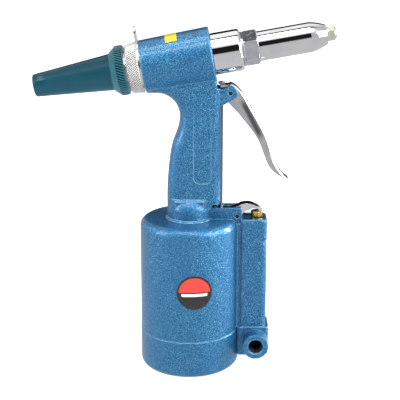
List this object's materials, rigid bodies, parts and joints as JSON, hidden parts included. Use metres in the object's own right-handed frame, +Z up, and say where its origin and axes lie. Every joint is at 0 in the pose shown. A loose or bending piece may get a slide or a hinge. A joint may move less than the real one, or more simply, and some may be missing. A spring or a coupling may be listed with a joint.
{
  "type": "pneumatic rivet gun",
  "caption": "Hand-held air-over-oil blind rivet gun: upright air cylinder, grip, lever trigger and linked valve, pulling head with jaws, and a screw-on stem collector.",
  "frame": {"origin": "centre of the base cap's flat underside, on the air cylinder's axis", "axes": "+Z up along the air cylinder's axis, +X towards the nose, so the air inlet opens towards -Y"},
  "size_m": [0.2552, 0.0874, 0.3043],
  "materials": {
    "blue_paint": "metallic fleck gloss",
    "chrome": "polished",
    "hanger_steel": "satin",
    "steel": "satin",
    "spring_steel": "drawn wire",
    "knurled_aluminium": "bright machined",
    "collector_plastic": "moulded satin",
    "brass": "turned",
    "bronze": "sintered",
    "nose_steel": "pale zinc plate",
    "seal_rubber": "matt",
    "piston_aluminium": "machined",
    "badge_foil": "gloss foil",
    "label_foil": "gloss foil"
  },
  "bodies": {
    "body": {"body_casting": "blue_paint", "air_cylinder": "blue_paint", "base_cap": "blue_paint", "base_gasket": "seal_rubber", "piston_bumper": "seal_rubber", "handle_lock_nut": "steel", "inlet_filter": "bronze", "oil_gland": "bronze", "plunger_seals": "seal_rubber", "gland_o_ring": "seal_rubber", "front_gland": "bronze", "front_gland_o_ring": "seal_rubber", "pull_rod_seal": "seal_rubber", "return_spring": "spring_steel", "end_cap": "knurled_aluminium", "tail_seal": "seal_rubber", "hanger": "hanger_steel", "head_sleeve": "chrome", "frame_head": "chrome", "nosepiece": "nose_steel", "trigger_pin": "steel", "lever_pin": "steel", "valve_sleeve": "brass", "valve_spring": "spring_steel", "spring_seat": "steel", "feed_plug": "steel", "bleed_screw": "steel", "bleed_washer": "seal_rubber", "badge": "badge_foil", "head_label": "label_foil"},
    "trigger": {"trigger": "chrome"},
    "trigger_rod": {"trigger_rod": "chrome", "rod_nuts": "steel"},
    "valve_lever": {"valve_lever": "chrome"},
    "valve_stem": {"valve_button": "brass", "valve_stem": "brass", "valve_o_rings": "seal_rubber"},
    "air_piston": {"air_piston": "piston_aluminium", "air_piston_seal": "seal_rubber", "plunger": "chrome", "piston_nut": "steel"},
    "pull_piston": {"pull_piston": "steel", "pull_piston_seal": "seal_rubber", "drawbar": "steel", "case_lock_ring": "steel", "jaw_case": "steel", "pusher_spring": "spring_steel"},
    "jaw_pusher": {"jaw_pusher": "steel"},
    "jaw_top": {"jaw_top": "steel"},
    "jaw_near": {"jaw_near": "steel"},
    "jaw_far": {"jaw_far": "steel"},
    "collector_ring": {"collector_o_ring": "seal_rubber"},
    "collector": {"collector": "collector_plastic"}
  },
  "joints": [
    {"name": "trigger_pivot", "type": "hinge", "parent": "body", "child": "trigger", "pos_m": [0.035, 0, 0.2464], "axis": [0, 1, 0], "range_deg": [0, 16]},
    {"name": "rod_slide", "type": "slide", "parent": "body", "child": "trigger_rod", "axis": [0, 0, 1], "range_m": [0, 0.0018]},
    {"name": "valve_lever_pivot", "type": "hinge", "parent": "body", "child": "valve_lever", "pos_m": [0.0417, 0, 0.138], "axis": [0, 1, 0], "range_deg": [0, 8]},
    {"name": "valve_slide", "type": "slide", "parent": "body", "child": "valve_stem", "axis": [0, 0, -1], "range_m": [0, 0.00305], "deforming": ["valve_spring"]},
    {"name": "air_piston_slide", "type": "slide", "parent": "body", "child": "air_piston", "axis": [0, 0, 1], "range_m": [0, 0.06]},
    {"name": "pull_piston_slide", "type": "slide", "parent": "body", "child": "pull_piston", "axis": [-0.9848, 0, -0.1736], "range_m": [0, 0.016], "deforming": ["return_spring"]},
    {"name": "jaw_pusher_slide", "type": "slide", "parent": "pull_piston", "child": "jaw_pusher", "axis": [0.9848, 0, 0.1736], "range_m": [0, 0.002], "deforming": ["pusher_spring"]},
    {"name": "jaw_top_slide", "type": "slide", "parent": "pull_piston", "child": "jaw_top", "axis": [0.9994, 0, -0.0349], "range_m": [0, 0.00204]},
    {"name": "jaw_near_slide", "type": "slide", "parent": "pull_piston", "child": "jaw_near", "axis": [0.9452, 0.1801, 0.2722], "range_m": [0, 0.00204]},
    {"name": "jaw_far_slide", "type": "slide", "parent": "pull_piston", "child": "jaw_far", "axis": [0.9452, -0.1801, 0.2722], "range_m": [0, 0.00204]},
    {"name": "collector_travel", "type": "slide", "parent": "body", "child": "collector_ring", "axis": [-0.9848, 0, -0.1736], "range_m": [0, 0.006]},
    {"name": "collector_turn", "type": "hinge", "parent": "collector_ring", "child": "collector", "pos_m": [-0.05909, 0, 0.26368], "axis": [-0.9848, 0, -0.1736], "range_deg": [0, 720]}
  ],
  "couplings": [
    {"joint": "rod_slide", "follows": "trigger_pivot", "m_per_rad": 0.0064458},
    {"joint": "valve_lever_pivot", "follows": "trigger_pivot", "ratio": 0.5},
    {"joint": "valve_slide", "follows": "trigger_pivot", "m_per_rad": 0.010922},
    {"joint": "pull_piston_slide", "follows": "air_piston_slide", "ratio": 0.26667},
    {"joint": "jaw_pusher_slide", "follows": "air_piston_slide", "ratio": 0.033333},
    {"joint": "jaw_top_slide", "follows": "air_piston_slide", "ratio": 0.034083},
    {"joint": "jaw_near_slide", "follows": "air_piston_slide", "ratio": 0.034083},
    {"joint": "jaw_far_slide", "follows": "air_piston_slide", "ratio": 0.034083},
    {"joint": "collector_travel", "follows": "collector_turn", "m_per_rad": 0.00047746}
  ]
}
